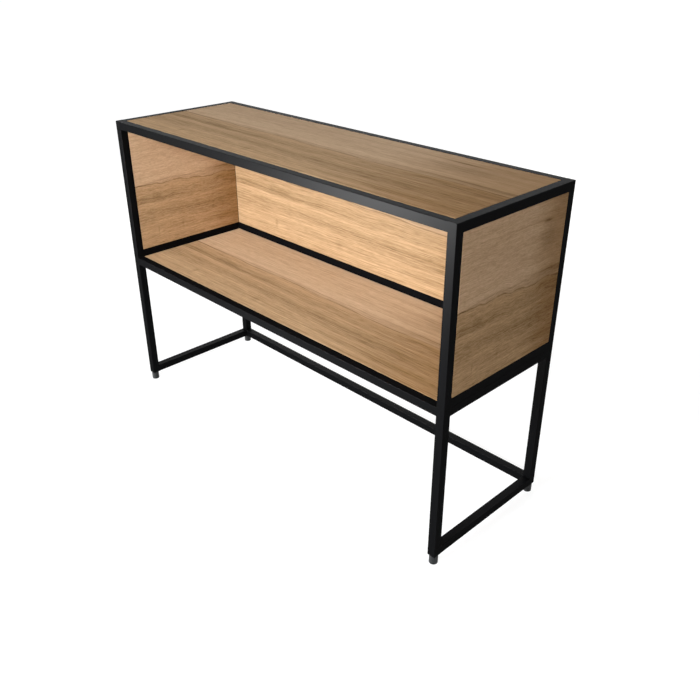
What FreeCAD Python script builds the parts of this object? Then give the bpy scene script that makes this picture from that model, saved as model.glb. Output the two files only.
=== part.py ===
import FreeCAD, Part
from enum import IntEnum
import os
import re
import Sketcher

# An open sideboard: a welded frame of square steel tube with five inset boards and four levelling feet.
# Sizes are in millimetres. X runs to the right, Y to the back and Z up from the floor.
# The origin lies on the floor under the middle of the frame, and the open side faces -Y.

# Driving dimensions: name, value and what it measures.
SIZES = (
    ("overall_width", 1130.0, "frame, left to right"),
    ("overall_depth", 375.0, "frame, front to back"),
    ("frame_height", 750.0, "leg ends to the top of the frame"),
    ("shelf_level", 374.0, "leg ends to the top of the shelf rails"),
    ("tube_size", 20.0, "outside of the square tube"),
    ("tube_wall", 1.5, "wall of the square tube"),
    ("tube_corner", 0.8, "outer corner radius of the tube"),
    ("bore_corner", 0.5, "inner corner radius of the tube"),
    ("cap_thickness", 2.0, "plate that closes the top of a post"),
    ("board_thickness", 18.0, "board that lies against tabs"),
    ("board_gap", 0.5, "joint round every board"),
    ("board_chamfer", 0.5, "eased edge of every board"),
    ("tab_length", 40.0, "fixing tab, along its rail"),
    ("tab_width", 25.0, "fixing tab, away from its rail"),
    ("tab_thickness", 2.0, "fixing tab"),
    ("tab_inset", 125.0, "end of a rail to the middle of its outer tab"),
    ("tab_land", 0.5, "straight part of a tab hole, under the screw head"),
    ("screw_diameter", 4.0, "shank of every wood screw"),
    ("screw_length", 15.0, "flat-head screw, overall"),
    ("screw_tip", 3.0, "pointed end of every wood screw"),
    ("screw_clearance", 0.1, "room round a screw, on the radius"),
    ("flat_head_diameter", 7.5, "flat-head screw, at its face"),
    ("pan_head_diameter", 7.5, "pan-head screw"),
    ("pan_head_height", 2.4, "pan-head screw"),
    ("pan_head_edge", 0.8, "bevel round the pan head"),
    ("drive_diameter", 3.4, "driver recess in a screw head, at its mouth"),
    ("drive_depth", 1.6, "driver recess in a screw head"),
    ("side_screw_length", 30.0, "pan-head screw, under its head"),
    ("pin_diameter", 6.0, "locating pin on a front post"),
    ("pin_length", 8.0, "locating pin, out of its post"),
    ("pin_clearance", 0.2, "room round a locating pin, on the radius"),
    ("side_fixing_inset", 58.0, "end of a side opening to a pin or screw"),
    ("hole_end_room", 1.0, "room past the end of a pin or screw"),
    ("access_diameter", 10.0, "driver hole in the back of a rear post"),
    ("plug_length", 4.0, "plug in a driver hole"),
    ("plug_clearance", 0.1, "room round a plug, on the radius"),
    ("plug_edge", 0.4, "bevel on the face of a plug"),
    ("foot_diameter", 20.0, "levelling foot"),
    ("foot_height", 23.0, "levelling foot, floor to leg end"),
    ("foot_edge", 1.5, "rounded lower edge of a foot"),
    ("stud_diameter", 8.0, "threaded stud of a foot"),
    ("stud_in_foot", 12.0, "stud held in the foot"),
    ("stud_in_leg", 30.0, "stud above the foot"),
    ("stud_chamfer", 1.0, "lead-in at the top of a stud"),
    ("stud_clearance", 0.08, "running room in the insert, on the radius"),
    ("insert_length", 25.0, "threaded insert in a leg end"),
    ("insert_clearance", 0.1, "room round an insert, on each side"),
    ("insert_corner", 1.0, "corner radius of an insert"),
)

# Lengths that follow from the driving dimensions.
INNER_WIDTH = "(overall_width - 2 * tube_size)"
INNER_DEPTH = "(overall_depth - 2 * tube_size)"
SIDE_OPENING = "(frame_height - shelf_level - 2 * tube_size)"
POST_LENGTH = "(frame_height - cap_thickness)"
BORE = "(tube_size - 2 * tube_wall)"
SCREW_HOLE = "(screw_diameter + 2 * screw_clearance)"
SCREW_SEAT = "(tab_thickness - tab_land)"
TAB_SPAN = "(" + INNER_WIDTH + " - 2 * tab_inset)"
SIDE_FIXING_SPAN = "(" + SIDE_OPENING + " - 2 * side_fixing_inset)"
SHANK = "screw_diameter / 2"
STUD = "stud_diameter / 2"

# Places that follow from the driving dimensions.
POST_X = "(overall_width - tube_size) / 2"
POST_Y = "(overall_depth - tube_size) / 2"
STRETCHER_Z = "foot_height + tube_size / 2"
SHELF_RAIL_Z = "foot_height + shelf_level - tube_size / 2"
PANEL_RAIL_Z = "foot_height + shelf_level + tube_size / 2"
TOP_RAIL_Z = "foot_height + frame_height - tube_size / 2"
POST_Z = "(foot_height + " + POST_LENGTH + " / 2)"
SIDE_MIDDLE_Z = "(foot_height + (frame_height + shelf_level) / 2)"
SIDE_FIXING_Z = SIDE_MIDDLE_Z + " - " + SIDE_FIXING_SPAN + " / 2"
FRONT_POST_BACK_Y = "-(overall_depth / 2 - tube_size)"
REAR_POST_FRONT_Y = "(overall_depth / 2 - tube_size)"
BACK_BOARD_Y = "(overall_depth / 2 - tab_thickness)"
SHELF_BOARD_Z = "(foot_height + shelf_level - tube_size + tab_thickness)"
TOP_BOARD_Z = "(foot_height + frame_height - tube_size + tab_thickness)"
STUD_FOOT_Z = "(foot_height - stud_in_foot)"

# Each corner of the frame: its name and the signs of its X and Y.
CORNERS = (
    ("front_left", -1, -1),
    ("front_right", 1, -1),
    ("rear_left", -1, 1),
    ("rear_right", 1, 1),
)
SIDES = (("left", -1), ("right", 1))
ENDS = (("front", -1), ("rear", 1))

# How a piece that is drawn about its own Z axis, or flat on its own XY plane, stands in the frame.
LYING = FreeCAD.Rotation()
FACING_FRONT = FreeCAD.Rotation(FreeCAD.Vector(1, 0, 0), 90)
FACING_BACK = FreeCAD.Rotation(FreeCAD.Vector(0, 1, 1), 180)
FACING_SIDE = FreeCAD.Rotation(FreeCAD.Vector(1, 1, 1), 120)

# What a sketch constraint refers to: the two axes and the origin point.
H_AXIS = -1
V_AXIS = -2
ORIGIN = (-1, 1)

SECTION_PLANES = {"X": "YZ_Plane", "Y": "XZ_Plane", "Z": "XY_Plane"}
TABS_IN_A_ROW = 3
ROWS_OF_TABS = 2
FIXINGS_PER_EDGE = 2
SIDE_FIXING_ROW = ("Y_Axis", SIDE_FIXING_SPAN, FIXINGS_PER_EDGE)
NEAR_ZERO = 1e-6


class At(IntEnum):
    """A point of a curve, as a sketch constraint refers to it."""

    START = 1
    END = 2
    CENTRE = 3


doc = FreeCAD.newDocument("sideboard")
sheet = doc.addObject("Spreadsheet::Sheet", "sizes")
sub_parts = []


def fill_sheet():
    """Write every driving dimension to the sheet, with its alias and a note."""
    for row, (name, value, note) in enumerate(SIZES, start=1):
        sheet.set(f"A{row}", name)
        sheet.set(f"B{row}", str(value))
        sheet.set(f"C{row}", note)
        sheet.setAlias(f"B{row}", name)
    doc.recompute()


def on_sheet(formula):
    """Point each size in a formula at its cell."""
    names = {name for name, _, _ in SIZES}
    return re.sub("[a-z_]+", lambda word: "sizes." + word[0] if word[0] in names else word[0], formula)


def bind(thing, path, formula):
    """Tie one property or constraint to a formula of the sheet's sizes."""
    thing.setExpression(path, on_sheet(formula))


def number(formula):
    """The present value of a formula, for a sketch's first shape."""
    return float(sheet.evalExpression(on_sheet(formula)))


def new_body(label, rotation, place):
    """Start a sub-part whose origin stands at a place given by three formulas."""
    body = doc.addObject("PartDesign::Body", label)
    body.Label = label
    body.AllowCompound = True
    body.Placement = FreeCAD.Placement(FreeCAD.Vector(), rotation)
    for axis, formula in zip("xyz", place):
        bind(body, "Placement.Base." + axis, formula)
    sub_parts.append(body)
    return body


def datum(body, role):
    """One of the body's own origin planes or axes."""
    return next(feature for feature in body.Origin.OriginFeatures if feature.Role == role)


def new_sketch(body, name, role, offset=("0", "0", "0")):
    """An empty sketch on an origin plane, its own origin moved by three formulas along its axes."""
    sketch = body.newObject("Sketcher::SketchObject", name)
    sketch.AttachmentSupport = [(datum(body, role), "")]
    sketch.MapMode = "FlatFace"
    for axis, formula in zip("xyz", offset):
        bind(sketch, "AttachmentOffset.Base." + axis, formula)
    return sketch


def bound_constraint(sketch, name, formula, kind, *where):
    """Add a dimension to a sketch and tie it to a formula."""
    index = sketch.addConstraint(Sketcher.Constraint(kind, *where, number(formula)))
    sketch.renameConstraint(index, name)
    bind(sketch, "Constraints." + name, formula)


def draw_rounded_square(sketch, name, side, corner):
    """Draw a square with round corners about the sketch's origin."""
    half = number(side) / 2
    radius = number(corner)
    flat = half - radius
    ends = [
        (FreeCAD.Vector(-flat, -half), FreeCAD.Vector(flat, -half), FreeCAD.Vector(flat, -flat)),
        (FreeCAD.Vector(half, -flat), FreeCAD.Vector(half, flat), FreeCAD.Vector(flat, flat)),
        (FreeCAD.Vector(flat, half), FreeCAD.Vector(-flat, half), FreeCAD.Vector(-flat, flat)),
        (FreeCAD.Vector(-half, flat), FreeCAD.Vector(-half, -flat), FreeCAD.Vector(-flat, -flat)),
    ]
    lines = []
    arcs = []
    for start, end, centre in ends:
        lines.append(sketch.addGeometry(Part.LineSegment(start, end)))
        first = end - centre
        turn = FreeCAD.Vector(-first.y, first.x)
        middle = centre + (first + turn).normalize() * radius
        arcs.append(sketch.addGeometry(Part.Arc(end, middle, centre + turn)))
    for turn_number, (line, arc) in enumerate(zip(lines, arcs)):
        following = lines[(turn_number + 1) % len(lines)]
        sketch.addConstraint(Sketcher.Constraint("Tangent", line, At.END, arc, At.START))
        sketch.addConstraint(Sketcher.Constraint("Tangent", arc, At.END, following, At.START))
        direction = "Vertical" if turn_number % 2 else "Horizontal"
        sketch.addConstraint(Sketcher.Constraint(direction, line))
    first, _, opposite, _ = arcs
    sketch.addConstraint(Sketcher.Constraint("Symmetric", first, At.CENTRE, opposite, At.CENTRE, *ORIGIN))
    for arc in arcs:
        if arc != first:
            sketch.addConstraint(Sketcher.Constraint("Equal", first, arc))
    bottom, right, top, left = lines
    bound_constraint(sketch, name + "_corner", corner, "Radius", first)
    bound_constraint(sketch, name + "_width", side, "DistanceX", left, At.START, right, At.START)
    bound_constraint(sketch, name + "_height", side, "DistanceY", bottom, At.START, top, At.START)


def draw_rectangle(sketch, length, width):
    """Draw a rectangle about the sketch's origin."""
    x = number(length) / 2
    y = number(width) / 2
    corners = [FreeCAD.Vector(-x, -y), FreeCAD.Vector(x, -y), FreeCAD.Vector(x, y), FreeCAD.Vector(-x, y)]
    lines = []
    for turn_number, corner in enumerate(corners):
        following = corners[(turn_number + 1) % len(corners)]
        lines.append(sketch.addGeometry(Part.LineSegment(corner, following)))
    for turn_number, line in enumerate(lines):
        following = lines[(turn_number + 1) % len(lines)]
        sketch.addConstraint(Sketcher.Constraint("Coincident", line, At.END, following, At.START))
        direction = "Vertical" if turn_number % 2 else "Horizontal"
        sketch.addConstraint(Sketcher.Constraint(direction, line))
    bottom, right, top, _ = lines
    sketch.addConstraint(Sketcher.Constraint("Symmetric", bottom, At.START, top, At.START, *ORIGIN))
    bound_constraint(sketch, "length", length, "DistanceX", bottom, At.START, bottom, At.END)
    bound_constraint(sketch, "width", width, "DistanceY", right, At.START, right, At.END)


def draw_circle(sketch, diameter):
    """Draw a circle about the sketch's origin."""
    normal = FreeCAD.Vector(0, 0, 1)
    circle = sketch.addGeometry(Part.Circle(FreeCAD.Vector(), normal, number(diameter) / 2))
    sketch.addConstraint(Sketcher.Constraint("Coincident", circle, At.CENTRE, *ORIGIN))
    bound_constraint(sketch, "diameter", diameter, "Diameter", circle)


def draw_half_section(sketch, points):
    """Draw a closed outline through points given by two formulas each, where None lies on the axis."""
    places = []
    for point in points:
        places.append(FreeCAD.Vector(*(0 if formula is None else number(formula) for formula in point)))
    lines = []
    for turn_number, place in enumerate(places):
        following = places[(turn_number + 1) % len(places)]
        lines.append(sketch.addGeometry(Part.LineSegment(place, following)))
    for turn_number, (line, point) in enumerate(zip(lines, points)):
        following = lines[(turn_number + 1) % len(lines)]
        sketch.addConstraint(Sketcher.Constraint("Coincident", line, At.END, following, At.START))
        for formula, axis, kind in zip(point, (V_AXIS, H_AXIS), ("DistanceX", "DistanceY")):
            if formula is None:
                sketch.addConstraint(Sketcher.Constraint("PointOnObject", line, At.START, axis))
            else:
                bound_constraint(sketch, f"{kind}_{turn_number}", formula, kind, *ORIGIN, line, At.START)


def pad(body, sketch, length, symmetric=False):
    """Raise a sketch by a length, along its normal or to both sides."""
    feature = body.newObject("PartDesign::Pad", "Pad")
    feature.Profile = sketch
    feature.SideType = "Symmetric" if symmetric else "One side"
    bind(feature, "Length", length)
    return feature


def pocket(body, sketch, depth, forward):
    """Sink a sketch by a depth, along its normal when forward and against it otherwise."""
    feature = body.newObject("PartDesign::Pocket", "Pocket")
    feature.Profile = sketch
    feature.Reversed = forward
    bind(feature, "Length", depth)
    return feature


def turned(body, kind, points):
    """Turn a half section drawn on the XZ plane about the body's Z axis, as a Revolution or a Groove."""
    sketch = new_sketch(body, "half_section", "XZ_Plane")
    draw_half_section(sketch, points)
    feature = body.newObject("PartDesign::" + kind, kind)
    feature.Profile = sketch
    feature.ReferenceAxis = (sketch, ["V_Axis"])
    return feature


def repeat(body, features, first, second=None):
    """Repeat features along one or two axes of the body: an axis, a length over all and a count each."""
    pattern = body.newObject("PartDesign::LinearPattern", "Pattern")
    pattern.Originals = features
    for suffix, row in (("", first), ("2", second)):
        if row is None:
            continue
        axis, length, count = row
        setattr(pattern, "Direction" + suffix, (datum(body, axis), [""]))
        bind(pattern, "Length" + suffix, length)
        setattr(pattern, "Occurrences" + suffix, count)
    body.Tip = pattern


def tube(label, axis, length, place):
    """A length of square tube whose middle stands at a place."""
    body = new_body(label, LYING, place)
    sketch = new_sketch(body, "tube_section", SECTION_PLANES[axis])
    draw_rounded_square(sketch, "outside", "tube_size", "tube_corner")
    draw_rounded_square(sketch, "bore", BORE, "bore_corner")
    pad(body, sketch, length, symmetric=True)
    return body


def drill_rear_post(body):
    """Holes in a rear post for the screws of a side board: small in front, and driver holes behind."""
    height = SIDE_FIXING_Z + " - " + POST_Z
    row = ("Z_Axis", SIDE_FIXING_SPAN, FIXINGS_PER_EDGE)
    holes = (("screw_hole", SCREW_HOLE, True), ("driver_hole", "access_diameter", False))
    for name, diameter, forward in holes:
        sketch = new_sketch(body, name, "XZ_Plane", ("0", height, "0"))
        draw_circle(sketch, diameter)
        repeat(body, [pocket(body, sketch, "tube_size / 2", forward)], row)


def posts():
    """Four posts that run from the feet to the top, each closed by a welded plate."""
    for corner, side, end in CORNERS:
        x = f"{side} * {POST_X}"
        y = f"{end} * {POST_Y}"
        post = tube(corner + "_post", "Z", POST_LENGTH, (x, y, POST_Z))
        if end > 0:
            drill_rear_post(post)
        cap = new_body(corner + "_post_cap", LYING, (x, y, "foot_height + " + POST_LENGTH))
        sketch = new_sketch(cap, "outline", "XY_Plane")
        draw_rounded_square(sketch, "outside", "tube_size", "tube_corner")
        pad(cap, sketch, "cap_thickness")


def rails():
    """Rails between the posts: rings at the top and the shelf, and more on the back and the ends."""
    for end_name, end in ENDS:
        y = f"{end} * {POST_Y}"
        tube(end_name + "_top_rail", "X", INNER_WIDTH, ("0", y, TOP_RAIL_Z))
        tube(end_name + "_shelf_rail", "X", INNER_WIDTH, ("0", y, SHELF_RAIL_Z))
    tube("rear_panel_rail", "X", INNER_WIDTH, ("0", POST_Y, PANEL_RAIL_Z))
    tube("rear_stretcher", "X", INNER_WIDTH, ("0", POST_Y, STRETCHER_Z))
    for side_name, side in SIDES:
        x = f"{side} * {POST_X}"
        tube(side_name + "_top_rail", "Y", INNER_DEPTH, (x, "0", TOP_RAIL_Z))
        tube(side_name + "_shelf_rail", "Y", INNER_DEPTH, (x, "0", SHELF_RAIL_Z))
        tube(side_name + "_panel_rail", "Y", INNER_DEPTH, (x, "0", PANEL_RAIL_Z))
        tube(side_name + "_stretcher", "Y", INNER_DEPTH, (x, "0", STRETCHER_Z))


def board(label, length, width, thickness, rotation, place):
    """A board with eased edges, drawn on its XY plane about its middle and raised along Z."""
    body = new_body(label, rotation, place)
    sketch = new_sketch(body, "outline", "XY_Plane")
    draw_rectangle(sketch, length, width)
    slab = pad(body, sketch, thickness)
    doc.recompute()
    edges = body.newObject("PartDesign::Chamfer", "Chamfer")
    edges.Base = (slab, [""])
    edges.UseAllEdges = True
    bind(edges, "Size", "board_chamfer")
    return body


def drilled_board(label, length, width, rotation, place, first, row, column):
    """A board with screw holes in its tab side, the first of them at two formulas from its middle."""
    length = f"{length} - 2 * board_gap"
    width = f"{width} - 2 * board_gap"
    slab = board(label, length, width, "board_thickness", rotation, place)
    hole = new_sketch(slab, "screw_hole", "XY_Plane", (*first, "0"))
    draw_circle(hole, SCREW_HOLE)
    depth = "screw_length - tab_thickness + hole_end_room"
    repeat(slab, [pocket(slab, hole, depth, True)], row, column)


def tabs(label, rotation, place, row, column):
    """Rows of flat tabs, each with a seat for a flat-head screw in its outer face."""
    body = new_body(label, rotation, place)
    outline = new_sketch(body, "outline", "XY_Plane")
    draw_rectangle(outline, "tab_length", "tab_width")
    plate = pad(body, outline, "tab_thickness")
    face = "flat_head_diameter / 2 + screw_clearance"
    neck = "screw_diameter / 2 + screw_clearance"
    seat = [(None, None), (face, None), (neck, SCREW_SEAT), (neck, "tab_thickness"), (None, "tab_thickness")]
    repeat(body, [plate, turned(body, "Groove", seat)], row, column)


def flat_head_screws(label, rotation, place, row, column):
    """Rows of flat-head wood screws, each with its head's face at its origin."""
    body = new_body(label, rotation, place)
    section = [
        (None, "drive_depth"),
        ("drive_diameter / 2", None),
        ("flat_head_diameter / 2", None),
        (SHANK, SCREW_SEAT),
        (SHANK, "screw_length - screw_tip"),
        (None, "screw_length"),
    ]
    repeat(body, [turned(body, "Revolution", section)], row, column)


def tabbed_board(label, length, width, rotation, locate):
    """A board in an opening, against two rows of tabs, with the tabs and their screws.

    locate turns a place on the board, three formulas from the middle of its tab side, into one in the frame.
    """
    across = f"({width} - tab_width)"
    row = ("X_Axis", TAB_SPAN, TABS_IN_A_ROW)
    column = ("Y_Axis", across, ROWS_OF_TABS)
    first = (f"-{TAB_SPAN} / 2", f"-{across} / 2")
    under_tab = locate(*first, "-tab_thickness")
    drilled_board(label, length, width, rotation, locate("0", "0", "0"), first, row, column)
    tabs(label + "_tabs", rotation, under_tab, row, column)
    flat_head_screws(label + "_screws", rotation, under_tab, row, column)


def lying_at(height):
    """Where the parts of a lying board stand, for a board whose tab side is at a height."""
    return lambda x, y, z: (x, y, f"{height} + {z}")


def at_the_back(x, y, z):
    """Where the parts of the back board stand: its tab side faces back."""
    return (x, f"{BACK_BOARD_Y} - ({z})", f"{SIDE_MIDDLE_Z} + {y}")


def tabbed_boards():
    """The top, the shelf and the back, each against tabs on the rails round it."""
    tabbed_board("shelf_panel", INNER_WIDTH, INNER_DEPTH, LYING, lying_at(SHELF_BOARD_Z))
    tabbed_board("top_panel", INNER_WIDTH, INNER_DEPTH, LYING, lying_at(TOP_BOARD_Z))
    tabbed_board("back_panel", INNER_WIDTH, SIDE_OPENING, FACING_FRONT, at_the_back)


def side_board(label, x):
    """An end board, flush with both faces of its tubes, with pin holes in front and screw holes behind."""
    length = f"({INNER_DEPTH} - 2 * board_gap)"
    width = f"{SIDE_OPENING} - 2 * board_gap"
    place = (f"{x} - tube_size / 2", "0", SIDE_MIDDLE_Z)
    body = board(label, length, width, "tube_size", FACING_SIDE, place)
    pin_hole = "pin_diameter + 2 * pin_clearance"
    pin_depth = "pin_length - board_gap + hole_end_room"
    screw_depth = "side_screw_length - tube_wall - board_gap + hole_end_room"
    holes = (
        ("pin_hole", pin_hole, f"-{length} / 2", pin_depth, True),
        ("screw_hole", SCREW_HOLE, f"{length} / 2", screw_depth, False),
    )
    for name, diameter, edge, depth, forward in holes:
        hole = new_sketch(body, name, "YZ_Plane", (f"-{SIDE_FIXING_SPAN} / 2", "tube_size / 2", edge))
        draw_circle(hole, diameter)
        repeat(body, [pocket(body, hole, depth, forward)], SIDE_FIXING_ROW)


def locating_pins(label, x):
    """Pins on the back of a front post, which the front edge of an end board slides onto."""
    body = new_body(label, FACING_BACK, (x, FRONT_POST_BACK_Y, SIDE_FIXING_Z))
    outline = new_sketch(body, "outline", "XY_Plane")
    draw_circle(outline, "pin_diameter")
    repeat(body, [pad(body, outline, "pin_length")], SIDE_FIXING_ROW)


def pan_head_screws(label, x):
    """Screws from inside a rear post into the rear edge of an end board."""
    head_face = REAR_POST_FRONT_Y + " + tube_wall + pan_head_height"
    body = new_body(label, FACING_FRONT, (x, head_face, SIDE_FIXING_Z))
    head = "pan_head_diameter / 2"
    end = "(pan_head_height + side_screw_length)"
    section = [
        (None, "drive_depth"),
        ("drive_diameter / 2", None),
        (f"{head} - pan_head_edge", None),
        (head, "pan_head_edge"),
        (head, "pan_head_height"),
        (SHANK, "pan_head_height"),
        (SHANK, f"{end} - screw_tip"),
        (None, end),
    ]
    repeat(body, [turned(body, "Revolution", section)], SIDE_FIXING_ROW)


def driver_plugs(label, x):
    """Plugs that close the driver holes in the back of a rear post, flush with it."""
    body = new_body(label, FACING_BACK, (x, "overall_depth / 2 - plug_length", SIDE_FIXING_Z))
    radius = "(access_diameter / 2 - plug_clearance)"
    section = [
        (None, None),
        (radius, None),
        (radius, "plug_length - plug_edge"),
        (f"{radius} - plug_edge", "plug_length"),
        (None, "plug_length"),
    ]
    repeat(body, [turned(body, "Revolution", section)], SIDE_FIXING_ROW)


def side_boards():
    """The two end boards, each on pins in front and screws through the rear post."""
    for side_name, side in SIDES:
        x = f"{side} * {POST_X}"
        side_board(side_name + "_panel", x)
        locating_pins(side_name + "_panel_pins", x)
        pan_head_screws(side_name + "_panel_screws", x)
        driver_plugs(f"rear_{side_name}_post_plugs", x)


def foot(label, x, y):
    """A round foot with a socket for its stud, rounded where it stands on the floor."""
    body = new_body(label, LYING, (x, y, "0"))
    radius = "foot_diameter / 2"
    section = [
        (None, None),
        (radius, None),
        (radius, "foot_height"),
        (STUD, "foot_height"),
        (STUD, STUD_FOOT_Z),
        (None, STUD_FOOT_Z),
    ]
    round_foot = turned(body, "Revolution", section)
    doc.recompute()
    lowest = []
    for index, edge in enumerate(round_foot.Shape.Edges, start=1):
        if edge.Closed and edge.BoundBox.ZMax < NEAR_ZERO:
            lowest.append(f"Edge{index}")
    fillet = body.newObject("PartDesign::Fillet", "Fillet")
    fillet.Base = (round_foot, lowest)
    bind(fillet, "Radius", "foot_edge")


def foot_stud(label, x, y):
    """The stud between a foot and its leg, with a lead-in at its top."""
    body = new_body(label, LYING, (x, y, STUD_FOOT_Z))
    length = "(stud_in_foot + stud_in_leg)"
    section = [
        (None, None),
        (STUD, None),
        (STUD, length + " - stud_chamfer"),
        (STUD + " - stud_chamfer", length),
        (None, length),
    ]
    turned(body, "Revolution", section)


def leg_insert(label, x, y):
    """The insert in the end of a leg that a stud screws into."""
    body = new_body(label, LYING, (x, y, "foot_height"))
    outline = new_sketch(body, "outline", "XY_Plane")
    draw_rounded_square(outline, "outside", BORE + " - 2 * insert_clearance", "insert_corner")
    pad(body, outline, "insert_length")
    hole = new_sketch(body, "stud_hole", "XY_Plane")
    draw_circle(hole, "stud_diameter + 2 * stud_clearance")
    pocket(body, hole, "insert_length", True)


def levelling_feet():
    """A levelling foot under each leg: the foot, its stud and the insert in the leg."""
    for corner, side, end in CORNERS:
        x = f"{side} * {POST_X}"
        y = f"{end} * {POST_Y}"
        foot(corner + "_foot", x, y)
        foot_stud(corner + "_foot_stud", x, y)
        leg_insert(corner + "_leg_insert", x, y)


def check_and_write():
    """Stop if any object failed or any shape is unsound, then write one file for each sub-part."""
    doc.recompute()
    failed = [item.Label for item in doc.Objects if "Invalid" in item.State or "Error" in item.State]
    unsound = [body.Label for body in sub_parts if body.Shape.isNull() or not body.Shape.isValid()]
    if failed or unsound:
        raise RuntimeError(f"failed objects: {failed}, unsound shapes: {unsound}")
    os.makedirs("parts", exist_ok=True)
    for body in sub_parts:
        body.Shape.exportStep(f"parts/{body.Label}.step")
        print(body.Label, len(body.Shape.Solids), "solids", round(body.Shape.Volume, 1), "mm3")


fill_sheet()
posts()
rails()
tabbed_boards()
side_boards()
levelling_feet()
check_and_write()
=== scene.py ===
"""Looks of an open sideboard: a welded black tube frame, walnut-veneered boards and levelling feet.

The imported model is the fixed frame, in metres, with +Z up and the open side towards -Y. Its tubes, boards,
tabs, caps, pins, plugs, inserts and feet keep their own meshes and get their finishes here. The weld seams,
the wood screws and the threaded studs come from Geometry Nodes trees, placed by the frame's own boxes.
"""

import logging
import math
from collections.abc import Iterable, Sequence
from dataclasses import dataclass, field, replace
from enum import Enum
from typing import ClassVar

import bpy
from bpy.types import ID, Material, Mesh, Node, NodeSocket, NodeTree, Object
from mathutils import Matrix, Vector

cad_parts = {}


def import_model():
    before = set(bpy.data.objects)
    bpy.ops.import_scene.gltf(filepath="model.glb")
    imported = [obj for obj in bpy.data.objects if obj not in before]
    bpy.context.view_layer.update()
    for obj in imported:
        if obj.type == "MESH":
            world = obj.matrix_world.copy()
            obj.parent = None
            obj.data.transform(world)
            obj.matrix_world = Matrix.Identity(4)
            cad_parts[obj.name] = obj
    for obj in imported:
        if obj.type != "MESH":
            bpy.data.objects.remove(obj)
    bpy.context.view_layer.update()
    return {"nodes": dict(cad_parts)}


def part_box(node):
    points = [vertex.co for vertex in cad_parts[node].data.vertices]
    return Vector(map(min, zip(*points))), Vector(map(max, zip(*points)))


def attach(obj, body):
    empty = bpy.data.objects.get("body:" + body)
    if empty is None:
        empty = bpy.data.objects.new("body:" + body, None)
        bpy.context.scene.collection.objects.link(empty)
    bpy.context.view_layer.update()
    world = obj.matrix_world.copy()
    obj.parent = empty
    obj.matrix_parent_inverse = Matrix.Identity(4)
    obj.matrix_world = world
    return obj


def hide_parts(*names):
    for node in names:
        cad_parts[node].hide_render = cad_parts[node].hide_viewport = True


LOG = logging.getLogger("sideboard")

Place = tuple[float, float, float]
Colour = tuple[float, float, float, float]
Source = Node | NodeSocket

MM = 0.001
TOUCHING = 0.05 * MM
AXES = (Vector((1, 0, 0)), Vector((0, 1, 0)), Vector((0, 0, 1)))
CORNERS = ("front_left", "front_right", "rear_left", "rear_right")
TAB_COLUMNS = 3
TAB_ROWS = 2

# The sRGB curve: a straight foot up to a knee, and a power above it.
SRGB_KNEE = 0.04045
SRGB_SLOPE = 12.92
SRGB_OFFSET = 0.055
SRGB_POWER = 2.4
CHANNEL_MAX = 255
WHITE = "#ffffff"

# Kinds of node that come up often, and their options.
MATH = "ShaderNodeMath"
VECTOR_MATH = "ShaderNodeVectorMath"
MAP_RANGE = "ShaderNodeMapRange"
MIX = "ShaderNodeMix"
NOISE = "ShaderNodeTexNoise"
COORDINATES = "ShaderNodeTexCoord"
BUMP = "ShaderNodeBump"
PRINCIPLED = "ShaderNodeBsdfPrincipled"
SPLIT = "ShaderNodeSeparateXYZ"
COMBINE = "ShaderNodeCombineXYZ"
JOIN = "GeometryNodeJoinGeometry"
MERGE = "GeometryNodeMergeByDistance"
TRANSFORM = "GeometryNodeTransform"
ADD = {"operation": "ADD"}
SUBTRACT = {"operation": "SUBTRACT"}
MULTIPLY = {"operation": "MULTIPLY"}
DIVIDE = {"operation": "DIVIDE"}
MULTIPLY_ADD = {"operation": "MULTIPLY_ADD"}
MINIMUM = {"operation": "MINIMUM"}
MAXIMUM = {"operation": "MAXIMUM"}
ABSOLUTE = {"operation": "ABSOLUTE"}
LENGTH = {"operation": "LENGTH"}
SOFTLY = {"interpolation_type": "SMOOTHSTEP"}
COLOURS = {"data_type": "RGBA"}

# A Mix node's sockets for colours, which share their names with those for numbers.
MIX_SHARE = 0
MIX_FROM = 6
MIX_TO = 7
MIX_RESULT = 2

# Noise swings by a half to either side of a half.
NOISE_MIDDLE = 0.5


def linear(hex_colour: str) -> Colour:
    """Turn an sRGB hex colour into linear light.

    Args:
        hex_colour: The colour as "#rrggbb".

    Returns:
        Red, green, blue and a full alpha, in linear light.
    """
    channels = [int(hex_colour[start:start + 2], 16) / CHANNEL_MAX for start in (1, 3, 5)]
    red, green, blue = (
        value / SRGB_SLOPE
        if value <= SRGB_KNEE
        else ((value + SRGB_OFFSET) / (1 + SRGB_OFFSET)) ** SRGB_POWER
        for value in channels
    )
    return red, green, blue, 1.0


def add_node(
    tree: NodeTree,
    kind: str,
    settings: dict[str, object] | None = None,
    inputs: dict[str | int, object] | Sequence[object] = (),
) -> Node:
    """Add one node, set its options, and fill or link its inputs.

    Args:
        tree: The node tree that takes the node.
        kind: The node's type name.
        settings: Values of the node's own options.
        inputs: What the inputs get, by name or number or in their order: a plain value, an output socket,
            a node, which stands for its first output, or a list of nodes and sockets.

    Returns:
        The new node.
    """
    node = tree.nodes.new(kind)
    for option, value in (settings or {}).items():
        setattr(node, option, value)
    for key, value in inputs.items() if isinstance(inputs, dict) else enumerate(inputs):
        for source in value if isinstance(value, list) else [value]:
            if isinstance(source, Node):
                tree.links.new(source.outputs[0], node.inputs[key])
            elif isinstance(source, NodeSocket):
                tree.links.new(source, node.inputs[key])
            else:
                node.inputs[key].default_value = source
    return node


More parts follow.
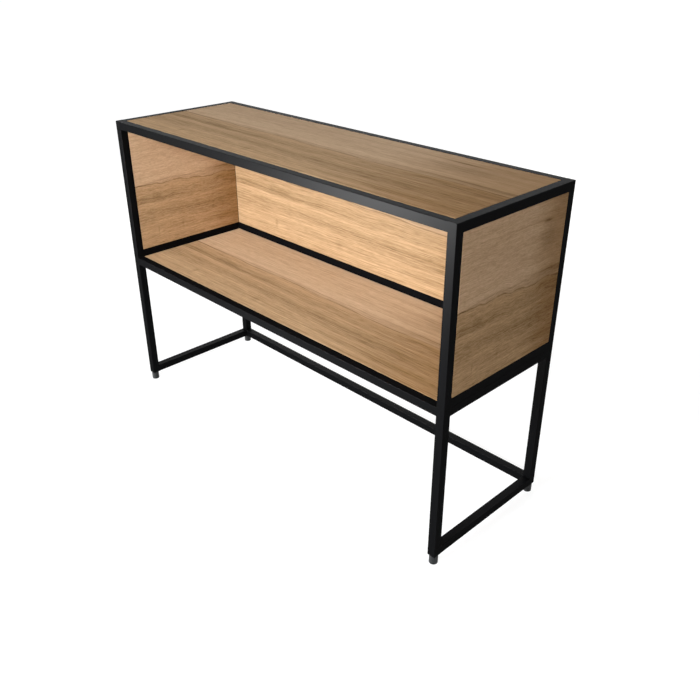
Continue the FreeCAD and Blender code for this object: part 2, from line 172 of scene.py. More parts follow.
class Finish:
    """A surface finish that makes one procedural material."""

    name: str

    def surface(self, tree: NodeTree) -> Node:
        """Wire the finish into a tree and give its shader."""
        raise NotImplementedError

    def material(self) -> Material:
        """Make the material when it is first asked for, and give the same one afterwards.

        Returns:
            The finish's material.
        """
        found = bpy.data.materials.get(self.name)
        if found:
            return found
        made = bpy.data.materials.new(self.name)
        made.use_nodes = True
        made.node_tree.nodes.clear()
        shader = self.surface(made.node_tree)
        add_node(made.node_tree, "ShaderNodeOutputMaterial", inputs={"Surface": shader})
        return made


@dataclass(frozen=True)
class SpeckledFinish(Finish):
    """A finish that goes to and fro between two close shades in patches of one size.

    Its gloss follows the patches, and a relief breaks up its shine, where it has them.
    """

    name: str
    colour: str
    patch_colour: str
    patch_mm: float
    patch_detail: float
    roughness: float
    roughness_spread: float = 0.0
    relief_mm: float = 0.0
    relief_detail: float = 0.0
    relief_depth_mm: float = 0.0
    metallic: float = 0.0
    specular: float = 0.5
    coat_weight: float = 0.0
    coat_roughness: float = 0.03

    def surface(self, tree: NodeTree) -> Node:
        """Wire the patches, the gloss and the relief.

        Args:
            tree: The material's node tree.

        Returns:
            The shader.
        """
        spot = add_node(tree, COORDINATES).outputs["Object"]
        patch = add_node(tree, NOISE, inputs={
            "Vector": spot, "Scale": 1 / (self.patch_mm * MM), "Detail": self.patch_detail,
        })
        colour = add_node(tree, MIX, COLOURS, {
            MIX_SHARE: patch, MIX_FROM: linear(self.colour), MIX_TO: linear(self.patch_colour),
        })
        sockets: dict[str, object] = {
            "Base Color": colour.outputs[MIX_RESULT],
            "Roughness": self.roughness,
            "Metallic": self.metallic,
            "Specular IOR Level": self.specular,
            "Coat Weight": self.coat_weight,
            "Coat Roughness": self.coat_roughness,
        }
        if self.roughness_spread:
            sockets["Roughness"] = add_node(tree, MAP_RANGE, inputs={
                "Value": patch,
                "To Min": self.roughness - self.roughness_spread,
                "To Max": self.roughness + self.roughness_spread,
            })
        if self.relief_depth_mm:
            skin = add_node(tree, NOISE, inputs={
                "Vector": spot, "Scale": 1 / (self.relief_mm * MM), "Detail": self.relief_detail,
            })
            relief = add_node(tree, BUMP, inputs={
                "Height": skin, "Distance": self.relief_depth_mm * MM, "Strength": 1.0,
            })
            sockets["Normal"] = relief
            sockets["Coat Normal"] = relief
        return add_node(tree, PRINCIPLED, inputs=sockets)


@dataclass(frozen=True)
class PowderCoat(SpeckledFinish):
    """Polyester powder on steel, sprayed and baked.

    To the eye: near-black and satin, with a broad soft sheen that an almost flat orange peel breaks up.
    """

    name: str = "powder_coated_steel_black"
    colour: str = "#0a0a0b"
    patch_colour: str = "#0e0e0f"
    patch_mm: float = 45.0
    patch_detail: float = 3.0
    roughness: float = 0.5
    roughness_spread: float = 0.05
    # Real peel is about 0.8 mm from crest to crest. It is drawn coarser, so that the render shows it.
    relief_mm: float = 3.5
    relief_detail: float = 1.0
    relief_depth_mm: float = 0.006
    specular: float = 0.0
    coat_weight: float = 0.035
    coat_roughness: float = 0.37


@dataclass(frozen=True)
class ZincPlate(SpeckledFinish):
    """Bright electroplated zinc on steel screws and studs.

    To the eye: pale blue-grey metal, clouded where the plating is thinner, with a soft mirror.
    """

    name: str = "zinc_plated_steel"
    colour: str = "#c9ccd1"
    patch_colour: str = "#989ca3"
    patch_mm: float = 4.0
    patch_detail: float = 4.0
    roughness: float = 0.3
    roughness_spread: float = 0.1
    metallic: float = 1.0


@dataclass(frozen=True)
class MouldedPlastic(SpeckledFinish):
    """Injection-moulded plastic from a spark-eroded tool.

    To the eye: even and matt, with a fine grainy skin.
    """

    # The real grain is about 0.15 mm. It is drawn coarser, so that a close view shows it.
    patch_mm: float = 0.9
    patch_detail: float = 2.0
    roughness: float = 0.55
    relief_mm: float = 0.9
    relief_detail: float = 2.0
    relief_depth_mm: float = 0.02


class Cut(Enum):
    """How a leaf of veneer lies on its board: the axis along the grain and the axis across it."""

    LYING = ("X", "Y")
    BACK = ("X", "Z")
    END = ("Y", "Z")

    @property
    def grain(self) -> str:
        """Name of the axis along the grain."""
        return self.value[0]

    @property
    def across(self) -> str:
        """Name of the axis across the grain."""
        return self.value[1]


@dataclass(frozen=True)
class GrainLayer:
    """One layer of a figure: its lengths along and across the grain, and how far it moves the shade."""

    along_mm: float
    across_mm: float
    detail: float
    streaked_depth: float
    plain_depth: float


@dataclass(frozen=True)
class GrainLine:
    """A dark line along a leaf: its start and end across the grain, its waves, its width and its depth."""

    start_mm: float
    end_mm: float
    wave_mm: float
    reach_mm: float
    width_mm: float
    depth: float


@dataclass(frozen=True)
class GrainBand:
    """A soft band along a leaf: its middle across the grain, its reach to either side, and its depth."""

    middle_mm: float
    reach_mm: float
    depth: float


@dataclass(frozen=True)
class Knot:
    """A soft dark spot on a leaf: its middle, its reach along and across the grain, and its depth."""

    middle_mm: tuple[float, float]
    reach_mm: tuple[float, float]
    depth: float


# Walnut from its darkest line to its palest fibre: most leaves, and a paler copy for the shelf that paints
# in the stronger light falling on it.
WARM_LEAF = ((0.0, "#503d2b"), (0.25, "#8c7154"), (0.5, "#b49575"), (0.65, "#c6a584"), (1.0, "#e8c7a5"))
SHELF_LIT_LEAF = ((0.0, "#513f2d"), (0.25, "#8d7457"), (0.5, "#b6997a"), (0.65, "#c8a989"), (1.0, "#eaccab"))


@dataclass(frozen=True)
class WalnutVeneer(Finish):
    """Sliced light walnut under a matt lacquer.

    To the eye: a warm tan leaf, plain and pale above a pair of dark wavy heart lines and banded with
    darker, yellower streaks below them. Painted shade darkens it towards one end, where the light falls
    off. It has a small knot, fine fibres and short open pores.
    """

    name: str
    cut: Cut
    corner: tuple[float, float]
    stretch: float
    ramp: tuple[tuple[float, str], ...] = WARM_LEAF
    honey: str = "#fffaef"
    # Painted shade, where the light falls off towards the far end of the leaf: its tint, where it comes in,
    # and the size of its patches.
    far_end_shade: str = "#dad0c0"
    far_shade_mm: tuple[float, float] = (205.0, 325.0)
    far_shade_patch_mm: float = 90.0
    plain_shade: float = 0.65
    streaked_shade: float = 0.525
    turn_mm: float = 7.0
    roughness: float = 0.5
    roughness_spread: float = 0.12
    lacquer_weight: float = 0.012
    lacquer_roughness: float = 0.4
    clouds: GrainLayer = GrainLayer(260.0, 24.0, 3.0, 0.33, 0.22)
    streaks: GrainLayer = GrainLayer(170.0, 5.0, 3.0, 0.5, 0.3)
    # Real fibres and pores are 0.2 to 0.4 mm wide, too fine to show. They are drawn several times as wide.
    fibres: GrainLayer = GrainLayer(26.0, 2.2, 2.0, 0.65, 0.5)
    mottle: GrainLayer = GrainLayer(7.0, 3.0, 1.0, 0.24, 0.24)
    pores: GrainLayer = GrainLayer(12.0, 1.2, 0.0, -0.08, -0.07)
    # The drift of the whole figure across the grain, with its depths in millimetres.
    flow: GrainLayer = GrainLayer(150.0, 90.0, 1.0, 16.0, 16.0)
    grain_roughness: float = 0.6
    pore_swing: tuple[float, float] = (0.06, 0.2)
    pore_depth_mm: float = 0.05
    lower_heart: GrainLine = GrainLine(177.0, 165.0, 90.0, -13.0, 2.8, 0.22)
    upper_heart: GrainLine = GrainLine(179.0, 186.0, 150.0, 9.0, 2.8, 0.13)
    faint_lines: tuple[GrainLine, ...] = (
        GrainLine(303.0, 292.0, 190.0, 14.0, 2.6, 0.07), GrainLine(30.0, 62.0, 160.0, 22.0, 2.6, 0.1),
    )
    wave_detail: float = 2.0
    bands: tuple[GrainBand, ...] = (
        GrainBand(136.0, 22.0, 0.13), GrainBand(119.0, 9.0, -0.05), GrainBand(90.0, 34.0, 0.1),
        GrainBand(203.0, 26.0, -0.02),
    )
    knots: tuple[Knot, ...] = (
        Knot((271.0, 293.0), (24.0, 6.0), 0.36), Knot((278.0, 258.0), (48.0, 40.0), 0.16),
        Knot((322.0, 182.0), (85.0, 10.0), 0.16), Knot((57.0, 42.0), (3.0, 19.0), 0.14),
    )
    lens_depth: float = 0.07
    follow_mm: float = 90.0

    LEAF_MM: ClassVar[float] = 335.0

    @classmethod
    def on_board(cls, name: str, board: str, cut: Cut) -> "WalnutVeneer":
        """Lay one leaf over a board, drawn out along the grain to the board's length.

        Args:
            name: The finish's name.
            board: The board's node.
            cut: How the leaf lies on it.

        Returns:
            The finish.
        """
        low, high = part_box(board)
        along = "XYZ".index(cut.grain)
        across = "XYZ".index(cut.across)
        return cls(name, cut, (low[along], low[across]), (high[along] - low[along]) / (cls.LEAF_MM * MM))

    def layer(self, tree: NodeTree, leaf: Node, grain: GrainLayer) -> Node:
        """Draw one layer of the figure, drawn out along the grain.

        Args:
            tree: The material's node tree.
            leaf: Place on the leaf in millimetres, along the grain and across it.
            grain: The layer's lengths.

        Returns:
            A number that swings by a half to either side of nothing.
        """
        scaled = add_node(tree, VECTOR_MATH, DIVIDE, (leaf, (grain.along_mm, grain.across_mm, 1.0)))
        noise = add_node(tree, NOISE, inputs={
            "Vector": scaled, "Scale": 1.0, "Detail": grain.detail, "Roughness": self.grain_roughness,
        })
        return add_node(tree, MATH, SUBTRACT, (noise, NOISE_MIDDLE))

    def wave(self, tree: NodeTree, along: Source, line: GrainLine) -> Node:
        """Draw how far a line wanders to either side of its course.

        Args:
            tree: The material's node tree.
            along: Place along the grain, in millimetres.
            line: The line.

        Returns:
            The wandering, in millimetres.
        """
        scaled = add_node(tree, MATH, MULTIPLY_ADD, (along, 1 / line.wave_mm, line.start_mm))
        noise = add_node(tree, NOISE, {"noise_dimensions": "1D"}, {
            "W": scaled, "Scale": 1.0, "Detail": self.wave_detail,
        })
        return add_node(tree, MAP_RANGE, {"clamp": False}, {
            "Value": noise, "To Min": -line.reach_mm, "To Max": line.reach_mm,
        })

    def above(self, tree: NodeTree, place: Node, line: GrainLine) -> Node:
        """Measure how far a place is above a line.

        Args:
            tree: The material's node tree.
            place: The node that gives the place along the grain and across it, in millimetres.
            line: The line.

        Returns:
            The distance in millimetres, below nothing under the line.
        """
        along = place.outputs["X"]
        course = add_node(tree, MAP_RANGE, inputs={
            "Value": along, "From Max": self.LEAF_MM, "To Min": line.start_mm, "To Max": line.end_mm,
        })
        waved = add_node(tree, MATH, ADD, (course, self.wave(tree, along, line)))
        return add_node(tree, MATH, SUBTRACT, (place.outputs["Y"], waved))

    def fade(self, tree: NodeTree, offset: Source, width: float, depth: float) -> Node:
        """Darken the shade near where an offset is nothing.

        Args:
            tree: The material's node tree.
            offset: Distance to either side.
            width: Distance at which the darkening has faded out.
            depth: How much it takes off the shade at its middle.

        Returns:
            What to add to the shade.
        """
        return add_node(tree, MAP_RANGE, SOFTLY, {
            "Value": add_node(tree, MATH, ABSOLUTE, (offset,)),
            "From Max": width,
            "To Min": -depth,
            "To Max": 0.0,
        })

    def turn(self, tree: NodeTree, offset: Source) -> Node:
        """Go softly from nothing to one where an offset passes nothing.

        Args:
            tree: The material's node tree.
            offset: Distance above a line, in millimetres.

        Returns:
            A share from nothing to one.
        """
        return add_node(tree, MAP_RANGE, SOFTLY, {
            "Value": offset, "From Min": -self.turn_mm, "From Max": self.turn_mm,
        })

    def marks(self, tree: NodeTree, place: Node, bent: Node, lower: Node) -> list[Node]:
        """Draw the lines, the bands, the knots and the darker lens between the heart lines.

        Args:
            tree: The material's node tree.
            place: The node that gives the place along the grain and across it, in millimetres.
            bent: The same place on the bent fibres.
            lower: Distance above the lower heart line.

        Returns:
            What to add to the shade, mark by mark.
        """
        upper = self.above(tree, place, self.upper_heart)
        lens = add_node(tree, MATH, SUBTRACT, (self.turn(tree, lower), self.turn(tree, upper)))
        made = [
            add_node(tree, MATH, MULTIPLY, (lens, -self.lens_depth)),
            self.fade(tree, lower, self.lower_heart.width_mm, self.lower_heart.depth),
            self.fade(tree, upper, self.upper_heart.width_mm, self.upper_heart.depth),
        ]
        for line in self.faint_lines:
            made.append(self.fade(tree, self.above(tree, place, line), line.width_mm, line.depth))
        height = add_node(tree, SPLIT, inputs=(bent,)).outputs["Y"]
        for band in self.bands:
            offset = add_node(tree, MATH, SUBTRACT, (height, band.middle_mm))
            made.append(self.fade(tree, offset, band.reach_mm, band.depth))
        for knot in self.knots:
            offset = add_node(tree, VECTOR_MATH, SUBTRACT, (bent, (*knot.middle_mm, 0.0)))
            scaled = add_node(tree, VECTOR_MATH, DIVIDE, (offset, (*knot.reach_mm, 1.0)))
            away = add_node(tree, VECTOR_MATH, LENGTH, (scaled,))
            made.append(self.fade(tree, away.outputs["Value"], 1.0, knot.depth))
        return made

    def colour(
        self, tree: NodeTree, shade: Source, plain: Source, along: Source, cloud: Source,
    ) -> NodeSocket:
        """Colour the shade, yellower in the streaked half, with painted shade in patches towards the far
        end.

        Args:
            tree: The material's node tree.
            shade: The shade from the darkest line to the palest fibre.
            plain: Share of the plain half.
            along: Place along the grain, in millimetres.
            cloud: Swing of the clouds, which gives the patches.

        Returns:
            The colour's socket.
        """
        wood = add_node(tree, "ShaderNodeValToRGB", inputs=(shade,))
        stops = wood.color_ramp.elements
        while len(stops) < len(self.ramp):
            stops.new(1.0)
        for stop, (position, tone) in zip(stops, self.ramp, strict=True):
            stop.position = position
            stop.color = linear(tone)
        streaked = add_node(tree, MATH, SUBTRACT, (1.0, plain))
        # Painted shade: the falloff of light towards the far end, drawn as darker, yellower patches.
        far = add_node(tree, MAP_RANGE, SOFTLY, {
            "Value": add_node(tree, MATH, MULTIPLY_ADD, (cloud, -self.far_shade_patch_mm, along)),
            "From Min": self.far_shade_mm[0],
            "From Max": self.far_shade_mm[1],
        })
        colour = wood.outputs["Color"]
        for share, tint in ((streaked, self.honey), (far, self.far_end_shade)):
            colour = add_node(tree, MIX, {**COLOURS, "blend_type": "MULTIPLY"}, {
                MIX_SHARE: share, MIX_FROM: colour, MIX_TO: linear(tint),
            }).outputs[MIX_RESULT]
        return colour

    def surface(self, tree: NodeTree) -> Node:
        """Wire the figure, the pores and the lacquer.

        Args:
            tree: The material's node tree.

        Returns:
            The shader.
        """
        # The place on the leaf in millimetres, along the grain and across it.
        axes = add_node(tree, SPLIT, inputs=(add_node(tree, COORDINATES).outputs["Object"],))
        flat = add_node(tree, COMBINE, inputs=(axes.outputs[self.cut.grain], axes.outputs[self.cut.across]))
        along_scale = 1 / (MM * self.stretch)
        leaf = add_node(tree, "ShaderNodeMapping", inputs={
            "Vector": flat,
            "Location": (-self.corner[0] * along_scale, -self.corner[1] / MM, 0.0),
            "Scale": (along_scale, 1 / MM, 1.0),
        })
        place = add_node(tree, SPLIT, inputs=(leaf,))
        along = place.outputs["X"]
        lower = self.above(tree, place, self.lower_heart)
        plain = self.turn(tree, lower)

        # The fibres bend with the lower heart line, where this fade is one, and less and less away from it.
        # They drift besides.
        nearness = self.fade(tree, lower, self.follow_mm, -1.0)
        followed = add_node(tree, MATH, MULTIPLY, (self.wave(tree, along, self.lower_heart), nearness))
        drift = self.layer(tree, leaf, self.flow)
        shift = add_node(tree, MATH, MULTIPLY_ADD, (drift, self.flow.plain_depth, followed))
        height = add_node(tree, MATH, SUBTRACT, (place.outputs["Y"], shift))
        bent = add_node(tree, COMBINE, inputs=(along, height))

        # The layers lie over the even shades of the plain half and the streaked half.
        cloud = self.layer(tree, bent, self.clouds)
        fibre = self.layer(tree, bent, self.fibres)
        pore = add_node(tree, MAP_RANGE, SOFTLY, {
            "Value": self.layer(tree, bent, self.pores),
            "From Min": self.pore_swing[0],
            "From Max": self.pore_swing[1],
        })
        shade = add_node(tree, MAP_RANGE, inputs={
            "Value": plain, "To Min": self.streaked_shade, "To Max": self.plain_shade,
        })
        for grain, swing in (
            (self.clouds, cloud),
            (self.streaks, self.layer(tree, bent, self.streaks)),
            (self.fibres, fibre),
            (self.mottle, self.layer(tree, bent, self.mottle)),
            (self.pores, pore),
        ):
            depth = add_node(tree, MAP_RANGE, inputs={
                "Value": plain, "To Min": grain.streaked_depth, "To Max": grain.plain_depth,
            })
            shade = add_node(tree, MATH, MULTIPLY_ADD, (swing, depth, shade))
        for mark in self.marks(tree, place, bent, lower):
            shade = add_node(tree, MATH, ADD, (shade, mark))

        gloss = add_node(tree, MAP_RANGE, inputs={
            "Value": fibre,
            "From Min": -NOISE_MIDDLE,
            "From Max": NOISE_MIDDLE,
            "To Min": self.roughness - self.roughness_spread,
            "To Max": self.roughness + self.roughness_spread,
        })
        relief = add_node(tree, BUMP, {"invert": True}, {
            "Height": pore, "Distance": self.pore_depth_mm * MM, "Strength": 1.0,
        })
        return add_node(tree, PRINCIPLED, inputs={
            "Base Color": self.colour(tree, shade, plain, along, cloud),
            "Roughness": gloss,
            "Specular IOR Level": 0.0,
            "Coat Weight": self.lacquer_weight,
            "Coat Roughness": self.lacquer_roughness,
            "Normal": relief,
            "Coat Normal": relief,
        })


def put(name: str, data: ID) -> Object:
    """Put a new object into the scene, at the origin.

    Args:
        name: The object's name.
        data: Its mesh, lamp or camera.

    Returns:
        The object.
    """
    made = bpy.data.objects.new(name, data)
    bpy.context.scene.collection.objects.link(made)
    return made


class PieceTree:
    """A Geometry Nodes tree with named inputs that ends in Realize Instances and Set Material."""

    KINDS: ClassVar[dict[type, str]] = {
        float: "NodeSocketFloat", int: "NodeSocketInt", tuple: "NodeSocketVector",
    }
    SHAPE: ClassVar[str] = "Shape"
    FINISH: ClassVar[str] = "Finish"

    def __init__(self, name: str, sizes: dict[str, float | int | Place]) -> None:
        """Make the empty tree.

        Args:
            name: The tree's name.
            sizes: The named inputs with the values that they get on the piece.
        """
        self.sizes = sizes
        self.tree = bpy.data.node_groups.new(name, "GeometryNodeTree")
        sockets = self.tree.interface
        sockets.new_socket(self.SHAPE, in_out="OUTPUT", socket_type="NodeSocketGeometry")
        sockets.new_socket(self.SHAPE, in_out="INPUT", socket_type="NodeSocketGeometry")
        sockets.new_socket(self.FINISH, in_out="INPUT", socket_type="NodeSocketMaterial")
        for size, value in sizes.items():
            sockets.new_socket(size, in_out="INPUT", socket_type=self.KINDS[type(value)])
        self.entry = add_node(self.tree, "NodeGroupInput")

    def size(self, name: str) -> NodeSocket:
        """Socket of a named input."""
        return self.entry.outputs[name]

    def close(self, shape: Node) -> None:
        """End the tree in real geometry with its finish.

        Args:
            shape: The finished shape, with or without instances.
        """
        real = add_node(self.tree, "GeometryNodeRealizeInstances", inputs=(shape,))
        dressed = add_node(self.tree, "GeometryNodeSetMaterial", inputs={
            "Geometry": real, "Material": self.size(self.FINISH),
        })
        add_node(self.tree, "NodeGroupOutput", inputs={self.SHAPE: dressed})

    def piece(self, name: str, finish: Finish, sharp_deg: float, points: Mesh | None = None) -> Object:
        """Run the tree once and keep its result as a plain mesh, shaded smoothly between its sharp edges.

        Args:
            name: The piece's name.
            finish: The finish that the tree sets on it.
            sharp_deg: The angle from which an edge is sharp.
            points: A mesh of points that the tree starts from, where it needs one.

        Returns:
            The piece, at the origin, with no modifier.
        """
        piece = put(name, points or bpy.data.meshes.new(name))
        modifier = piece.modifiers.new(self.tree.name, "NODES")
        modifier.node_group = self.tree
        values = {self.FINISH: finish.material(), **self.sizes}
        for item in self.tree.interface.items_tree:
            if item.in_out == "INPUT" and item.name in values:
                modifier[item.identifier] = values[item.name]
        evaluated = piece.evaluated_get(bpy.context.evaluated_depsgraph_get())
        mesh = bpy.data.meshes.new_from_object(evaluated)
        mesh.name = name
        piece.modifiers.remove(modifier)
        piece.data = mesh
        mesh.shade_smooth()
        mesh.set_sharp_from_angle(angle=math.radians(sharp_deg))
        return piece


def dress(nodes: dict[str, Object], names: Iterable[str], finish: Finish) -> None:
    """Give carried-over nodes their finish.

    Args:
        nodes: The frame's nodes by name.
        names: The nodes to dress.
        finish: Their finish.
    """
    for name in names:
        nodes[name].material_slots[0].material = finish.material()
        LOG.info("%s dressed in %s", name, finish.name)


@dataclass(frozen=True)
class Seam:
    """A groove beside a rounded tube edge that weld metal fills flush with two square faces."""

    start: Vector
    run: Vector
    sides: tuple[Vector, Vector]
    reach: float

    @property
    def turn(self) -> Place:
        """Find how a strip along +Z, square to +X and +Y, turns into this groove.

        Returns:
            The turn's Euler angles.
        """
        first, second = self.sides
        if first.cross(second).dot(self.run) < 0:
            first, second = second, first
        return tuple(Matrix((first, second, self.run)).transposed().to_euler())


@dataclass
class TubeFrame:
    """The welded frame: posts with caps, rails and stretchers of one square tube, and the tabs inside it."""

    nodes: dict[str, Object]
    coat: PowderCoat = field(default_factory=PowderCoat)
    tube_corner: float = 0.8 * MM
    arc_steps: int = 8
    sharp_deg: float = 40.0
    tab_length: float = 40.0 * MM
    tab_columns: int = TAB_COLUMNS

    def named(self, *endings: str) -> list[str]:
        """Names of the frame's nodes that end in one of these words."""
        return sorted(name for name in self.nodes if name.endswith(endings))

    def rail_seams(self) -> list[Seam]:
        """Find the grooves where a rail's end meets a post's rounded edges.

        Returns:
            One seam for each groove. Two rails that share a groove have one between them.
        """
        found: dict[tuple[int, ...], Seam] = {}
        for rail in self.named("_rail", "_stretcher"):
            rail_low, rail_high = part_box(rail)
            run = 0 if rail_high.x - rail_low.x > rail_high.y - rail_low.y else 1
            cross = 1 - run
            for post in self.named("_post"):
                post_low, post_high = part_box(post)
                if abs(post_low[cross] - rail_low[cross]) > TOUCHING:
                    continue
                for plane, end, sign in ((post_high, rail_low, 1), (post_low, rail_high, -1)):
                    if abs(plane[run] - end[run]) > TOUCHING:
                        continue
                    for edge, side in ((post_low, -1), (post_high, 1)):
                        start = rail_low.copy()
                        start[run] = plane[run]
                        start[cross] = edge[cross]
                        key = tuple(round(value / TOUCHING) for value in start)
                        sides = (AXES[run] * sign, AXES[cross] * side)
                        found[key] = Seam(start, AXES[2], sides, rail_high.z - rail_low.z)
        return list(found.values())

    def tab_seams(self) -> list[Seam]:
        """Find the grooves between the tabs and the rounded rail edges that they are welded to.

        Returns:
            One seam for each tab.
        """
        found = []
        for group in self.named("_tabs"):
            low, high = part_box(group)
            lying = high.z - low.z < high.y - low.y
            step = (high.x - low.x - self.tab_length) / (self.tab_columns - 1)
            for column in range(self.tab_columns):
                x = low.x + column * step
                for sign, edge in ((1, low), (-1, high)):
                    if lying:
                        start = Vector((x, edge.y, low.z))
                        sides = (AXES[1] * sign, -AXES[2])
                    else:
                        start = Vector((x, high.y, edge.z))
                        sides = (AXES[1], AXES[2] * sign)
                    found.append(Seam(start, AXES[0], sides, self.tab_length))
        return found

    def seam_tree(self) -> PieceTree:
        """Build the tree that sets a filler strip at each point, turned and drawn out to fit.

        Returns:
            The tree.
        """
        made = PieceTree("weld_seams", {"Corner": self.tube_corner, "Arc Steps": self.arc_steps})
        tree = made.tree
        corner = made.size("Corner")
        inward = add_node(tree, MATH, SUBTRACT, (0.0, corner))
        arc = add_node(tree, "GeometryNodeCurveArc", inputs={
            "Resolution": made.size("Arc Steps"), "Radius": corner, "Sweep Angle": math.pi / 2,
        })
        middle = add_node(tree, COMBINE, inputs=(inward, inward))
        outline = [add_node(tree, TRANSFORM, inputs={"Geometry": arc, "Translation": middle})]
        for axis in ("X", "Y"):
            far = add_node(tree, COMBINE, inputs={axis: inward})
            outline.append(add_node(tree, "GeometryNodeCurvePrimitiveLine", inputs={"End": far}))
        edges = add_node(tree, "GeometryNodeCurveToMesh", inputs=(add_node(tree, JOIN, inputs=(outline,)),))
        ring = add_node(tree, MERGE, inputs={"Geometry": edges, "Distance": TOUCHING})
        loop = add_node(tree, "GeometryNodeMeshToCurve", inputs=(ring,))
        section = add_node(tree, "GeometryNodeFillCurve", {"mode": "NGONS"}, (loop,))
        wall = add_node(tree, "GeometryNodeExtrudeMesh", inputs={
            "Mesh": section, "Offset": tuple(AXES[2]), "Offset Scale": 1.0, "Individual": False,
        })
        base = add_node(tree, "GeometryNodeFlipFaces", inputs=(section,))
        strip = add_node(tree, MERGE, inputs={
            "Geometry": add_node(tree, JOIN, inputs=([wall, base],)), "Distance": TOUCHING,
        })
        attribute = "GeometryNodeInputNamedAttribute"
        turn = add_node(tree, attribute, {"data_type": "FLOAT_VECTOR"}, {"Name": "turn"})
        reach = add_node(tree, attribute, {"data_type": "FLOAT"}, {"Name": "reach"})
        made.close(add_node(tree, "GeometryNodeInstanceOnPoints", inputs={
            "Points": made.size(PieceTree.SHAPE),
            "Instance": strip,
            "Rotation": add_node(tree, "FunctionNodeEulerToRotation", inputs=(turn,)),
            "Scale": add_node(tree, COMBINE, inputs=(1.0, 1.0, reach)),
        }))
        return made

    def build(self) -> None:
        """Fill the grooves at the rail ends and the tabs with weld metal, ground flush."""
        seams = self.rail_seams() + self.tab_seams()
        points = bpy.data.meshes.new("weld_points")
        points.from_pydata([seam.start for seam in seams], [], [])
        turns = points.attributes.new("turn", "FLOAT_VECTOR", "POINT")
        turns.data.foreach_set("vector", [angle for seam in seams for angle in seam.turn])
        reaches = points.attributes.new("reach", "FLOAT", "POINT")
        reaches.data.foreach_set("value", [seam.reach for seam in seams])
        piece = self.seam_tree().piece("frame_weld_seams", self.coat, self.sharp_deg, points)
        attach(piece, "frame")
        LOG.info("frame_weld_seams: %d seams", len(seams))

    def dress(self) -> None:
        """Coat every tube, cap and tab."""
        dress(self.nodes, self.named("_post", "_post_cap", "_rail", "_stretcher", "_tabs"), self.coat)


class Facing(Enum):
    """Which way a board's tabs and screw heads face, as the turn that points a screw's head there."""

    DOWN = (0.0, 0.0, 0.0)
    BACK = (math.pi / 2, 0.0, 0.0)


